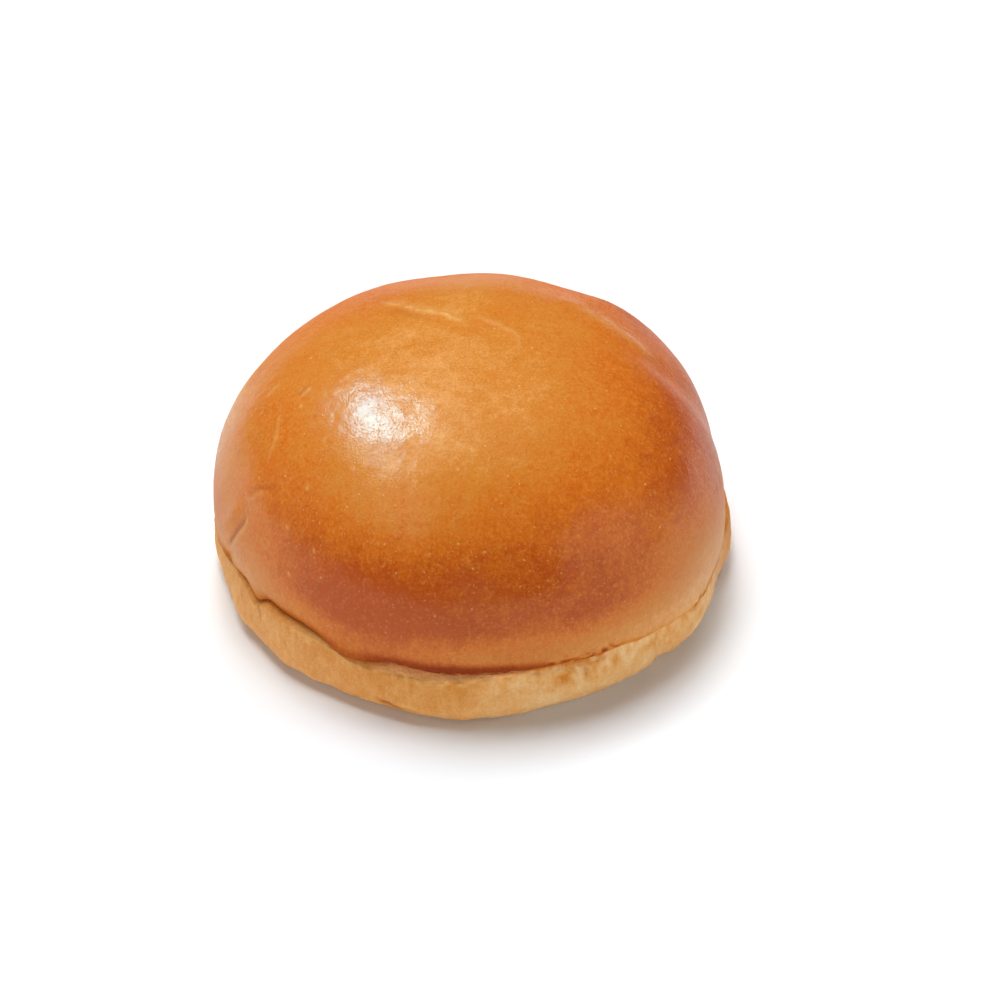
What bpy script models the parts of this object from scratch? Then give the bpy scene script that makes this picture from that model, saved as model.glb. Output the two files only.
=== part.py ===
"""Burger bun: one round, egg-washed, uncut roll, modelled as a single closed solid.

The dome of a baked bun swells out over the band of dough that stood on the tray. The two are parted all
round by a crease, where the crust tore as the dough rose: above it is the dome's rolled lip, below it a
shoulder of torn crumb, and under that the paler heel with its flat base.

The section through the bun is a profile turned by a Screw modifier. Each of its points carries the number
of its row, so that the turned mesh can then be made uneven, direction by direction, as hand-shaped dough is.

The file is in metres, with +Z up. The bun stands on z = 0, and the z axis passes through the middle of its
bounding box. Directions are in degrees seen from above: 0 is +X, the right, and -90 is -Y, the front.
"""
import math

import bpy

MM = 0.001

# The dome, in millimetres
HEIGHT = 55.0              # crown above the table
DOME_RADIUS = 51.3         # mean radius where the dome is widest
DOME_WIDEST = 16.8         # height at which it is widest
DOME_SQUARENESS = 2.25     # 2 is an ellipse; a little more gives the dome its full shoulders
CROWN_SHIFT_X = -0.9       # the crown sits a little off the middle
CROWN_SHIFT_Y = 0.9

# The lip, the dome's lower edge over the crease
LIP_HEIGHT = 12.3          # mean height of the lip's edge above the table
LIP_TUCK = 1.9             # how far the lip's edge curls in under the dome

# The crease and the torn shoulder below it
CREASE_DEPTH = 0.9         # how far the crease reaches in behind the lip's edge
CREASE_DROP = 0.6          # how far below the lip's edge its inner corner is
SHOULDER_DROP = 2.2        # from the lip's edge down to the shoulder's ridge
SHOULDER_INSET = 0.9       # from the heel's widest line in to the ridge

# The heel, which stood on the tray
HEEL_RADIUS = 51.3
HEEL_WIDEST = 5.9          # height at which the heel is widest
FOOT_RADIUS = 45.5         # radius of the flat base
FOOT_SQUARENESS = 2.2

# Unevenness: (direction, millimetres added there, half width in degrees)
DOME_SWELLS = (
    (-135, -1.9, 26),      # flatter at the front left
    (-90, 1.3, 26),
    (-45, 1.4, 26),        # fullest at the front right
    (35, 1.0, 22),
    (90, -1.3, 30),        # flatter at the back
    (140, -1.3, 26),
)
WIDEST_CHANGES = (
    (-165, 0.7, 26),
    (-30, -2.3, 30),       # the dome is widest lower down at the front right
    (12, -1.2, 26),
)
HEEL_SWELLS = (
    (-91, 1.8, 16),        # the heel's bulge at the front
    (14, 2.3, 22),         # and the broader one at the right
    (118, 1.2, 18),
)
LIP_WAVES = (
    (-147, -0.7, 3),       # the two sides of the small notch at the left
    (-138, 1.1, 7),
    (-119, -2.0, 8),       # the lip droops lowest here
    (-32, -1.6, 14),       # and again where it meets the heel at the front right
    (62, 1.1, 13),
    (96, -1.3, 10),
    (140, 0.9, 14),
)
TUCK_CHANGES = (
    (5, -1.5, 30),         # at the right the lip hardly curls under
)

# How far the crease gapes: what is added to 1 there
OPENING_CHANGES = (
    (-152, -0.45, 14),
    (-38, -0.65, 18),      # nearly shut at the front right
    (150, -0.5, 20),
)

# The fold that runs up the dome from the lip at the left
FOLD_FOOT_DIRECTION = -163
FOLD_TOP_DIRECTION = -151
FOLD_FOOT = 13.0           # heights of its two ends
FOLD_TOP = 33.0
FOLD_DEPTH = 0.9
FOLD_HALF_WIDTH = 3.0      # in degrees

# The torn edge's ups and downs: (waves round the bun, size in millimetres, start in degrees)
TORN_WAVES = (
    (17, 0.16, 40),
    (29, 0.12, 200),
    (41, 0.08, 310),
)

# How finely each stretch of the section is divided
DIRECTIONS = 128
DOME_ROWS = 24
LIP_ROWS = 5
SHOULDER_ROWS = 3
SIDE_ROWS = 3
FOOT_ROWS = 5
BASE_ROWS = 3

CRUST_COLOUR = (0.58, 0.25, 0.055, 1.0)
CRUST_ROUGHNESS = 0.4


def turn_between(direction, other):
    """The angle from one direction to another, from -180 to 180 degrees."""
    return (direction - other + 180) % 360 - 180


def uneven(direction, bumps):
    """What a list of rounded bumps adds in this direction, in millimetres."""
    return sum(
        size * math.exp(-(turn_between(direction, place) / half_width) ** 2)
        for place, size, half_width in bumps
    )


def torn(direction):
    """The torn edge's small ups and downs in this direction, in millimetres."""
    return sum(
        size * math.sin(math.radians(waves * direction + start))
        for waves, size, start in TORN_WAVES
    )


def quarter(part, reach, rise, squareness):
    """A point on a quarter of a rounded square: part 0 is straight out and part 1 straight up."""
    across = math.cos(part * math.pi / 2)
    up = math.sin(part * math.pi / 2)
    scale = (across ** squareness + up ** squareness) ** (-1 / squareness)
    return reach * across * scale, rise * up * scale


def fold(direction, height):
    """How deep the fold at the left is, in this direction and at this height."""
    along = (height - FOLD_FOOT) / (FOLD_TOP - FOLD_FOOT)
    if not 0 <= along <= 1:
        return 0.0
    middle = FOLD_FOOT_DIRECTION + (FOLD_TOP_DIRECTION - FOLD_FOOT_DIRECTION) * along
    across = turn_between(direction, middle) / FOLD_HALF_WIDTH
    return FOLD_DEPTH * math.exp(-across ** 2) * (1 - along ** 2)


def dome_rows(direction, radius, widest):
    """From the crown down to the row above the dome's widest line: (out, up) points."""
    rows = []
    for row in range(DOME_ROWS):
        out, up = quarter(1 - row / DOME_ROWS, radius, HEIGHT - widest, DOME_SQUARENESS)
        height = widest + up
        rows.append((out - fold(direction, height), height))
    return rows


def lip_rows(direction, radius, widest, lip, tuck):
    """From the dome's widest line round and in to the lip's edge."""
    rows = []
    for row in range(LIP_ROWS + 1):
        out, down = quarter(row / LIP_ROWS, tuck, widest - lip, 2)
        height = widest - down
        rows.append((radius - tuck + out - fold(direction, height), height))
    return rows


def shoulder_rows(direction, crease, ridge):
    """The torn shoulder: a slope from the crease's inner corner out to the heel's ridge."""
    rows = []
    for row in range(SHOULDER_ROWS + 1):
        part = row / SHOULDER_ROWS
        out = crease[0] + (ridge[0] - crease[0]) * part
        up = crease[1] + (ridge[1] - crease[1]) * part
        rows.append((out, up + torn(direction) * part))
    return rows


def heel_rows(ridge, radius, widest, foot):
    """From below the ridge over the heel's widest line and in to the edge of the flat base."""
    rows = []
    for row in range(1, SIDE_ROWS + 1):
        out, up = quarter(1 - row / SIDE_ROWS, radius - ridge[0], ridge[1] - widest, 2)
        rows.append((ridge[0] + out, widest + up))
    for row in range(1, FOOT_ROWS + 1):
        out, down = quarter(row / FOOT_ROWS, radius - foot, widest, FOOT_SQUARENESS)
        rows.append((foot + out, widest - down))
    return rows


def section(direction):
    """The bun's outline in this direction, from crown to base centre: (out, up) in millimetres."""
    dome_radius = DOME_RADIUS + uneven(direction, DOME_SWELLS)
    lip = LIP_HEIGHT + uneven(direction, LIP_WAVES)
    dome_widest = DOME_WIDEST + uneven(direction, WIDEST_CHANGES)
    opening = 1 + uneven(direction, OPENING_CHANGES)
    tuck = (LIP_TUCK + uneven(direction, TUCK_CHANGES)) * opening
    crease = (dome_radius - tuck - CREASE_DEPTH * opening, lip - CREASE_DROP * opening)
    swell = uneven(direction, HEEL_SWELLS)
    heel_radius = HEEL_RADIUS + swell
    foot = FOOT_RADIUS + swell
    ridge = (heel_radius - SHOULDER_INSET * opening, lip - SHOULDER_DROP * opening)

    rows = dome_rows(direction, dome_radius, dome_widest)
    rows += lip_rows(direction, dome_radius, dome_widest, lip, tuck)
    rows += shoulder_rows(direction, crease, ridge)
    rows += heel_rows(rows[-1], heel_radius, HEEL_WIDEST, foot)
    rows += [(foot * (1 - row / BASE_ROWS), 0.0) for row in range(1, BASE_ROWS + 1)]
    return rows


def turned_bun():
    """The plain section turned once round the z axis. Each vertex keeps the number of its row."""
    profile = section(0)
    mesh = bpy.data.meshes.new("bun_section")
    points = [(out * MM, 0.0, up * MM) for out, up in profile]
    mesh.from_pydata(points, [(row, row + 1) for row in range(len(points) - 1)], [])
    row_number = mesh.attributes.new("row", "FLOAT", "POINT")
    row_number.data.foreach_set("value", [float(row) for row in range(len(points))])

    guide = bpy.data.objects.new("bun_section", mesh)
    bpy.context.scene.collection.objects.link(guide)
    turn = guide.modifiers.new("turn", "SCREW")
    turn.axis = "Z"
    turn.steps = DIRECTIONS
    turn.render_steps = DIRECTIONS
    turn.use_merge_vertices = True
    turn.merge_threshold = 0.00001

    evaluated = guide.evaluated_get(bpy.context.evaluated_depsgraph_get())
    turned = bpy.data.meshes.new_from_object(evaluated)
    bpy.data.objects.remove(guide)
    return turned


def make_uneven(mesh):
    """Move each vertex of the turned bun to where its row lies in its own direction."""
    row_number = mesh.attributes["row"].data
    sections = {}
    for vertex in mesh.vertices:
        angle = math.atan2(vertex.co.y, vertex.co.x)
        direction = round(math.degrees(angle), 3)
        if direction not in sections:
            sections[direction] = section(direction)
        out, up = sections[direction][round(row_number[vertex.index].value)]
        lean = (max(up - LIP_HEIGHT, 0) / (HEIGHT - LIP_HEIGHT)) ** 1.5
        vertex.co.x = (out * math.cos(angle) + CROWN_SHIFT_X * lean) * MM
        vertex.co.y = (out * math.sin(angle) + CROWN_SHIFT_Y * lean) * MM
        vertex.co.z = up * MM


def centre(mesh):
    """Slide the mesh so that the z axis passes through the middle of its bounding box."""
    for axis in (0, 1):
        places = [vertex.co[axis] for vertex in mesh.vertices]
        middle = (min(places) + max(places)) / 2
        for vertex in mesh.vertices:
            vertex.co[axis] -= middle


def baked_crust():
    """Golden-brown crust under a coat of egg wash."""
    material = bpy.data.materials.new("baked_crust")
    material.use_nodes = True
    shader = material.node_tree.nodes["Principled BSDF"]
    shader.inputs["Base Color"].default_value = CRUST_COLOUR
    shader.inputs["Roughness"].default_value = CRUST_ROUGHNESS
    shader.inputs["Metallic"].default_value = 0.0
    material.diffuse_color = CRUST_COLOUR
    return material


def make_bun(collection):
    mesh = turned_bun()
    make_uneven(mesh)
    centre(mesh)
    mesh.name = "bun"
    mesh.attributes.remove(mesh.attributes["row"])
    mesh.shade_smooth()
    mesh.set_sharp_from_angle(angle=math.radians(50))
    mesh.materials.append(baked_crust())
    bun = bpy.data.objects.new("bun", mesh)
    collection.objects.link(bun)
    return bun


def main():
    for item in list(bpy.data.objects):
        bpy.data.objects.remove(item)
    collection = bpy.data.collections.new("burger_bun")
    bpy.context.scene.collection.children.link(collection)
    make_bun(collection)


main()
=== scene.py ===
# %% [markdown]
# # A glazed burger bun
#
# This lesson dresses a burger bun: one round roll, brushed with egg before it was baked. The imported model
# is the plain form of the bun. Here it is made again as a fine mesh, with the wrinkles, blisters and torn
# crumb of a baked crust, and given its finish.
#
# Sizes of the bun are in millimetres and are turned into metres only when the mesh is made. Directions are
# in degrees seen from above: 0 is +X, the right, and -90 is -Y, the front.

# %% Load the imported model
import math

import bpy
import numpy as np
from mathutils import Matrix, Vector, noise


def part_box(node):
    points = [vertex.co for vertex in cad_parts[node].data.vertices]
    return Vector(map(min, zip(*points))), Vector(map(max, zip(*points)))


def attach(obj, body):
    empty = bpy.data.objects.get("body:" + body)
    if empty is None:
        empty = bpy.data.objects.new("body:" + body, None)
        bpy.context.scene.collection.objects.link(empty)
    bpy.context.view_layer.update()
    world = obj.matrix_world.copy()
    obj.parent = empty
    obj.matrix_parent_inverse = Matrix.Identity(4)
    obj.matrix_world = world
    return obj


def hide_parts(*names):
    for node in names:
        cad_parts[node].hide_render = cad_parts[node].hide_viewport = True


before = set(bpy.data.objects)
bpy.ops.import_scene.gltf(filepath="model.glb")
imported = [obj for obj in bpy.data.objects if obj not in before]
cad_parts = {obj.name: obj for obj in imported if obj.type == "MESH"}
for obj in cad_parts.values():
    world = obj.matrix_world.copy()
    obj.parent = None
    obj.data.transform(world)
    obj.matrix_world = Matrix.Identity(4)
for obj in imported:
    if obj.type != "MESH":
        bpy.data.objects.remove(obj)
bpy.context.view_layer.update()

MM = 0.001

# %% [markdown]
# ## The form
#
# The dome of a bun swells out over the band of dough that stood on the tray. Where the two part, the crust
# tears as the dough rises: above the crease is the dome's rolled lip, below it a shoulder of torn crumb,
# then the paler heel.
#
# A sculptor would push a sphere about. A turned section with named sizes is easier to read and to change,
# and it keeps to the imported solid, which is made from the same numbers.

# %% Sizes of the plain form
HEIGHT = 55.0
DOME_RADIUS = 51.3
DOME_WIDEST = 16.8         # the height at which the dome is widest
DOME_SQUARENESS = 2.25     # 2 is round, and more is squarer
CROWN_SHIFT_X = -0.9
CROWN_SHIFT_Y = 0.9
CROWN_SHIFT_CURVE = 1.5    # more than 1 leaves the lower dome upright
LIP_HEIGHT = 12.3
LIP_TUCK = 1.9
LIP_SQUARENESS = 2
CREASE_DEPTH = 0.9
CREASE_DROP = 0.6
SHOULDER_DROP = 2.2
SHOULDER_INSET = 0.9
SIDE_SQUARENESS = 1.4
HEEL_RADIUS = 51.3
HEEL_WIDEST = 5.9
FOOT_RADIUS = 45.5
FOOT_SQUARENESS = 2.2
print("the plain dome is", 2 * DOME_RADIUS, "mm across and", HEIGHT, "mm high")

# %% [markdown]
# Dough shaped by hand isn't round. Each list below adds rounded bumps to one of the sizes: a direction, how
# many millimetres are added there, and the bump's half width in degrees. The lists for the opening are
# shares of the crease's size instead.
#
# The lists whose names begin with FINE follow the photograph's outline and its crease more closely than the
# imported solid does. At two places the heel's ridge stands further in, where its top rounds over into the
# crease.

# %% Where the form is uneven
DOME_SWELLS = (
    (-135, -1.9, 26), (-90, 1.3, 26), (-45, 1.4, 26), (35, 1.0, 22), (90, -1.3, 30), (140, -1.3, 26),
)
WIDEST_CHANGES = ((-165, 0.7, 26), (-30, -2.3, 30), (12, -1.2, 26))
HEEL_SWELLS = ((-91, 1.8, 16), (14, 2.3, 22), (118, 1.2, 18))
LIP_WAVES = (
    (-147, -0.7, 3), (-138, 1.1, 7), (-119, -2.0, 8), (-32, -1.6, 14), (62, 1.1, 13), (96, -1.3, 10),
    (140, 0.9, 14),
)
TUCK_CHANGES = ((5, -1.5, 30),)
OPENING_CHANGES = ((-152, -0.45, 14), (-38, -0.65, 18), (150, -0.5, 20))
FINE_DOME_SWELLS = (
    (-178, -0.4, 22), (-172, 0.25, 8), (7, -0.6, 6), (12, -0.8, 13), (41, 0.7, 6.5), (56, -0.8, 9),
    (99, -1.2, 12), (108, -0.3, 18), (122, -0.4, 14), (143, -0.5, 12), (159, -0.5, 8),
)
FINE_HEEL_SWELLS = (
    (-173, -0.35, 5), (-165, -1.35, 9), (-145, -0.7, 7), (-124, -0.3, 7), (-92, 0.3, 3), (-62, 0.4, 6),
    (-47, 0.25, 3), (-43, -0.5, 4), (-31, 0.95, 8), (-13, -1.1, 7), (5, -0.2, 6), (110, -0.9, 40),
)
FINE_LIP_WAVES = (
    (-159, 0.5, 6), (-153.5, 0.7, 4), (-148.5, -0.9, 2.2), (-142.5, 0.8, 2.6), (-125, 1.5, 9),
    (-107, 0.5, 5), (-86, 0.95, 12), (-61, -0.3, 3), (-50, -0.5, 3),
)
FINE_TUCK_CHANGES = ((-178, -1.2, 12), (-163, -0.7, 7), (-156, 2.2, 6), (-88, -0.9, 13), (-35, -0.6, 14))
FINE_OPENING_CHANGES = (
    (-176, -0.7, 12), (-159, -0.3, 8), (-133, -0.5, 12), (-119.5, -0.75, 7), (-84, -0.4, 12),
    (-22, -0.45, 12),
)
RIDGE_INSETS = ((-155, 0.8, 9), (-121, 0.9, 9))


def turn_between(direction, other):
    """The angle from one direction to another, from -180 to 180 degrees."""
    return (direction - other + 180) % 360 - 180


def uneven(direction, bumps):
    """What a list of rounded bumps adds in each direction."""
    total = np.zeros_like(direction)
    for middle, size, half_width in bumps:
        total += size * np.exp(-(turn_between(direction, middle) / half_width) ** 2)
    return total


def quarter(part, reach, rise, squareness):
    """Points on a quarter of a rounded square: part 0 is straight out and part 1 straight up."""
    across = np.cos(part * math.pi / 2)
    up = np.sin(part * math.pi / 2)
    scale = (across ** squareness + up ** squareness) ** (-1 / squareness)
    return reach * across * scale, rise * up * scale


dome_change = uneven(np.arange(-180.0, 180.0), DOME_SWELLS + FINE_DOME_SWELLS)
print("the dome's radius changes by", dome_change.min().round(1), "to", dome_change.max().round(1), "mm")

# %% [markdown]
# At the left a fold runs up the dome from the lip, where the skin of the dough doubled over as it was
# rounded. It is deepest at its foot and fades out upwards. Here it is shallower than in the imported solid,
# because the lines that are drawn on it later, a cushion, a core and a ridge, deepen it again.

# %% The fold at the left
FOLD_FOOT_DIRECTION = -163
FOLD_FOOT = 13.0
FOLD_TOP_DIRECTION = -151
FOLD_TOP = 33.0
FOLD_DEPTH = 0.65
FOLD_HALF_WIDTH = 3.0      # in degrees


def fold(direction, height):
    """How deep the fold is in each direction and at each height."""
    along = (height - FOLD_FOOT) / (FOLD_TOP - FOLD_FOOT)
    on_fold = (along >= 0) & (along <= 1)
    middle = FOLD_FOOT_DIRECTION + (FOLD_TOP_DIRECTION - FOLD_FOOT_DIRECTION) * along
    across = turn_between(direction, middle) / FOLD_HALF_WIDTH
    return np.where(on_fold, FOLD_DEPTH * np.exp(-across ** 2) * (1 - along ** 2), 0)


print("the fold is", FOLD_TOP - FOLD_FOOT, "mm tall and", FOLD_DEPTH, "mm deep at its foot")

# %% [markdown]
# The section runs from the crown down the dome, round the lip, into the crease, out over the torn shoulder,
# down the heel and in under the base. A row of vertices is laid every half to three quarters of a
# millimetre, closer over the crown, where the crust has its finest wrinkles. Each row belongs to a zone,
# which the finish needs later.

# %% The section in every direction
DIRECTIONS = 640
DOME_ROWS = 130
LIP_ROWS = 9
SHOULDER_ROWS = 9
SIDE_ROWS = 7
FOOT_ROWS = 11
BASE_ROWS = 5
CROWN_CLOSER = 0.2         # how much closer than evenly the rows lie at the crown
DOME, LIP, SHOULDER, SIDE, FOOT, BASE = range(6)


def steps(count, first=0):
    """A column of fractions that ends at 1."""
    return (np.arange(first, count + 1) / count)[:, None]


def section(direction):
    """Each row's distance out and height in every direction, its zone, and its part of the way through."""
    dome_radius = DOME_RADIUS + uneven(direction, DOME_SWELLS + FINE_DOME_SWELLS)
    dome_widest = DOME_WIDEST + uneven(direction, WIDEST_CHANGES)
    lip = LIP_HEIGHT + uneven(direction, LIP_WAVES + FINE_LIP_WAVES)
    opening = 1 + uneven(direction, OPENING_CHANGES + FINE_OPENING_CHANGES)
    tuck = (LIP_TUCK + uneven(direction, TUCK_CHANGES + FINE_TUCK_CHANGES)) * opening
    crease_out = dome_radius - tuck - CREASE_DEPTH * opening
    crease_up = lip - CREASE_DROP * opening
    heel_swell = uneven(direction, HEEL_SWELLS + FINE_HEEL_SWELLS)
    heel_radius = HEEL_RADIUS + heel_swell
    foot_radius = FOOT_RADIUS + heel_swell
    ridge_out = heel_radius - SHOULDER_INSET * opening - uneven(direction, RIDGE_INSETS)
    ridge_up = lip - SHOULDER_DROP * opening
    stretches = []

    part = steps(DOME_ROWS)[:-1]
    climb = 1 - part - CROWN_CLOSER * part * (part - 1)
    out, rise = quarter(climb, dome_radius, HEIGHT - dome_widest, DOME_SQUARENESS)
    up = dome_widest + rise
    stretches.append((DOME, part, out - fold(direction, up), up))

    part = steps(LIP_ROWS)
    out, drop = quarter(part, tuck, dome_widest - lip, LIP_SQUARENESS)
    up = dome_widest - drop
    stretches.append((LIP, part, dome_radius - tuck + out - fold(direction, up), up))

    part = steps(SHOULDER_ROWS)
    out = crease_out + (ridge_out - crease_out) * part
    up = crease_up + (ridge_up - crease_up) * part
    stretches.append((SHOULDER, part, out, up))

    part = steps(SIDE_ROWS, 1)
    out, rise = quarter(1 - part, heel_radius - ridge_out, ridge_up - HEEL_WIDEST, SIDE_SQUARENESS)
    stretches.append((SIDE, part, ridge_out + out, HEEL_WIDEST + rise))

    part = steps(FOOT_ROWS, 1)
    foot_height = np.full_like(foot_radius, HEEL_WIDEST)
    out, drop = quarter(part, heel_radius - foot_radius, foot_height, FOOT_SQUARENESS)
    stretches.append((FOOT, part, foot_radius + out, foot_height - drop))

    part = steps(BASE_ROWS, 1)
    out = foot_radius * (1 - part)
    stretches.append((BASE, part, out, np.zeros_like(out)))

    outs = np.concatenate([out for _, _, out, _ in stretches])
    ups = np.concatenate([up for _, _, _, up in stretches])
    zones = np.concatenate([np.full(len(part), zone) for zone, part, _, _ in stretches])
    parts = np.concatenate([part[:, 0] for _, part, _, _ in stretches])
    return outs, ups, zones, parts


all_directions = np.arange(DIRECTIONS) * 360 / DIRECTIONS
outs, ups, zones, parts = section(all_directions[None, :])
print(len(zones), "rows in", DIRECTIONS, "directions")

# %% [markdown]
# ## The mesh
#
# Near the crown and in the middle of the base, 640 directions would crowd the vertices, so each ring there
# has half as many as the last, down to a single vertex. Where a ring meets one with twice its vertices,
# three triangles fill each step.

# %% Rings of vertices and the faces between them
FULL_RING_OUT = 25.0       # rings nearer the axis than this have half the vertices, and so on inwards
LARGEST_STRIDE = 8


def ring_stride(mean_out):
    """How many directions a ring this far out skips between its vertices."""
    stride = 1
    while stride < LARGEST_STRIDE and mean_out < FULL_RING_OUT / stride:
        stride *= 2
    return stride


def strip(upper, lower):
    """Faces between two rings, the upper one nearer the crown along the section."""
    faces = []
    count = max(len(upper), len(lower))
    if len(upper) == len(lower):
        for k in range(count):
            after = (k + 1) % count
            faces.append((upper[k], lower[k], lower[after], upper[after]))
    elif len(upper) == 1:
        for k in range(count):
            faces.append((upper[0], lower[k], lower[(k + 1) % count]))
    elif len(lower) == 1:
        for k in range(count):
            faces.append((upper[k], lower[0], upper[(k + 1) % count]))
    elif len(upper) < len(lower):
        for k in range(len(upper)):
            after = (k + 1) % len(upper)
            left, middle, right = lower[2 * k], lower[2 * k + 1], lower[(2 * k + 2) % count]
            faces.append((upper[k], left, middle))
            faces.append((upper[k], middle, upper[after]))
            faces.append((upper[after], middle, right))
    else:
        for k in range(len(lower)):
            after = (k + 1) % len(lower)
            left, middle, right = upper[2 * k], upper[2 * k + 1], upper[(2 * k + 2) % count]
            faces.append((left, lower[k], middle))
            faces.append((middle, lower[k], lower[after]))
            faces.append((middle, lower[after], right))
    return faces


# %% Lay out the vertices
ON_AXIS = 1e-6             # a row nearer the axis than this is one vertex
rings = []
faces = []
vertex_row = []
vertex_column = []
for row in range(len(zones)):
    stride = DIRECTIONS if outs[row].max() < ON_AXIS else ring_stride(outs[row].mean())
    columns = range(0, DIRECTIONS, stride)
    first = len(vertex_row)
    vertex_row += [row] * len(columns)
    vertex_column += columns
    rings.append(range(first, first + len(columns)))
    if row:
        faces += strip(rings[-2], rings[-1])

direction = turn_between(all_directions[vertex_column], 0)
zone = zones[vertex_row]
part = parts[vertex_row]
out = outs[vertex_row, vertex_column]
up = ups[vertex_row, vertex_column]
lean = (np.maximum(up - LIP_HEIGHT, 0) / (HEIGHT - LIP_HEIGHT)) ** CROWN_SHIFT_CURVE
form = np.stack([
    out * np.cos(np.radians(direction)) + CROWN_SHIFT_X * lean,
    out * np.sin(np.radians(direction)) + CROWN_SHIFT_Y * lean,
    up,
], axis=1)
form_middle = (form.min(axis=0) + form.max(axis=0)) / 2
form_middle[2] = 0

bun_mesh = bpy.data.meshes.new("bun_crust")
bun_mesh.from_pydata(form, [], faces)
normals = np.zeros(len(form) * 3)
bun_mesh.vertex_normals.foreach_get("vector", normals)
normals = normals.reshape(-1, 3)
triangles = sum(len(face) - 2 for face in faces)
print(len(form), "vertices and", triangles, "triangles")

# %% [markdown]
# ## Relief
#
# All that is finer than the plain form is a height in millimetres, added along the crust's normals. Baked
# dough is never smooth: it rolls a little from the baker's hands, and under the glaze it is finely
# puckered. Noise of three sizes gives both. A displacement modifier with a texture could do it too, but
# numbers in an array can be measured, masked by zone and used again for the colours.

# %% Rolling unevenness
ROLL_SIZE = 13.0
ROLL_HEIGHT = 0.14
DIMPLE_SIZE = 4.5
DIMPLE_HEIGHT = 0.025
PUCKER_SIZE = 1.7
PUCKER_HEIGHT_ON_DOME = 0.018
PUCKER_HEIGHT_ON_HEEL = 0.04


def rolling(points, size, start):
    """Smooth noise, mostly between -1 and 1, with bumps about this many millimetres across.

    Every use starts at a place of its own in the noise, so that no two look alike.
    """
    shift = Vector((start, start, start))
    return 2 * np.array([noise.noise(Vector(point) / size + shift) for point in points])


def ramp(value, low, high):
    """A soft step: 0 where the value is low, 1 where it is high."""
    share = np.clip((value - low) / (high - low), 0, 1)
    return share * share * (3 - 2 * share)


on_dome = ((zone == DOME) | (zone == LIP)).astype(float)
on_shoulder = (zone == SHOULDER).astype(float)
on_heel = ((zone == SIDE) | (zone == FOOT)).astype(float)

above_table = ramp(up, 0.0, 2.5)
relief = ROLL_HEIGHT * rolling(form, ROLL_SIZE, 3.0) * above_table
relief += DIMPLE_HEIGHT * rolling(form, DIMPLE_SIZE, 20.0) * above_table
pucker_height = PUCKER_HEIGHT_ON_DOME * on_dome + PUCKER_HEIGHT_ON_HEEL * on_heel
relief += pucker_height * rolling(form, PUCKER_SIZE, 40.0)
print("the unevenness spans", relief.min().round(2), "to", relief.max().round(2), "mm")

# %% [markdown]
# Wrinkles and folds are lines on the crust. Each is a few points in millimetres, as read off the bun from
# the front. Every vertex near the line gets its distance across it and its part of the way along it, and
# from these two numbers comes a ridge where the height is above zero, and a groove where it is below.

# %% Where a line runs
LINE_REACH = 5.0           # how far a line is looked for, and how far past its ends it goes on
PAST_ITS_ENDS = 0.6
# Both also carry painted light: pale holds some painted highlights and a painted reflection, dark the
# painted shade in the fold, under the lip and in the crease.
pale = np.zeros(len(form))      # stretched or raised crust, which browns less
dark = np.zeros(len(form))      # cracks and pits


def smooth_route(route, pieces=10):
    """Points close together on a smooth curve through the vertices nearest to the route's points."""
    nearest = [((form - np.array(point)) ** 2).sum(axis=1).argmin() for point in route]
    points = form[nearest]
    padded = np.concatenate([[2 * points[0] - points[1]], points, [2 * points[-1] - points[-2]]])
    curve = []
    for before, start, end, after in zip(padded, padded[1:], padded[2:], padded[3:]):
        turn = 2 * before - 5 * start + 4 * end - after
        twist = 3 * start - before - 3 * end + after
        for s in np.arange(pieces) / pieces:
            curve.append(0.5 * (2 * start + (end - before) * s + turn * s ** 2 + twist * s ** 3))
    return np.array(curve + [points[-1]])


def near_line(route):
    """The vertices near a line: their numbers, millimetres across (more at its left), and 0 to 1 along."""
    curve = smooth_route(route)
    middle = curve.mean(axis=0)
    span = np.linalg.norm(curve - middle, axis=1).max() + LINE_REACH
    near = np.flatnonzero(np.linalg.norm(form - middle, axis=1) < span)
    gaps = form[near][:, None, :] - curve[None, :, :]
    nearest = (gaps ** 2).sum(axis=2).argmin(axis=1)
    travel = np.gradient(curve, axis=0)[nearest]
    travel /= np.linalg.norm(travel, axis=1)[:, None]
    gap = gaps[np.arange(len(near)), nearest]
    across = (gap * np.cross(normals[near], travel)).sum(axis=1)
    along = nearest / (len(curve) - 1)
    beyond = np.abs((gap * travel).sum(axis=1))
    keep = (np.linalg.norm(gap, axis=1) < LINE_REACH) & (beyond < PAST_ITS_ENDS)
    return near[keep], across[keep], along[keep]


# %% Lines and spots
WOBBLE_SIZE = 1.6
BEAD_SIZE = 1.0
SPOT_REACH = 3             # how many of its radii a spot still shows at


def mark(near, profile, height, paleness, darkness):
    """Raise or sink these vertices, and make the crust paler or darker there."""
    relief[near] += height * profile
    pale[near] = np.maximum(pale[near], paleness * profile)
    dark[near] = np.maximum(dark[near], darkness * profile)


def line(route, half_width, height=0.0, paleness=0.0, darkness=0.0, wobble=0.0, beads=0.0, fade=0.25):
    """A ridge or groove, which wobbles by so many millimetres, swells into beads, and fades at its ends."""
    near, across, along = near_line(route)
    across = across + wobble * rolling(form[near], WOBBLE_SIZE, 70.0)
    profile = np.exp(-(across / half_width) ** 2) * ramp(along, 0, fade) * ramp(1 - along, 0, fade)
    beaded = profile * (1 + beads * rolling(form[near], BEAD_SIZE, 80.0))
    mark(near, beaded, height, paleness, darkness)


def spot(middle, radius, height=0.0, paleness=0.0, darkness=0.0):
    """A round blister, pit or stain."""
    gap = np.linalg.norm(form - np.array(middle), axis=1)
    near = np.flatnonzero(gap < SPOT_REACH * radius)
    mark(near, np.exp(-(gap[near] / radius) ** 2), height, paleness, darkness)


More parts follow.
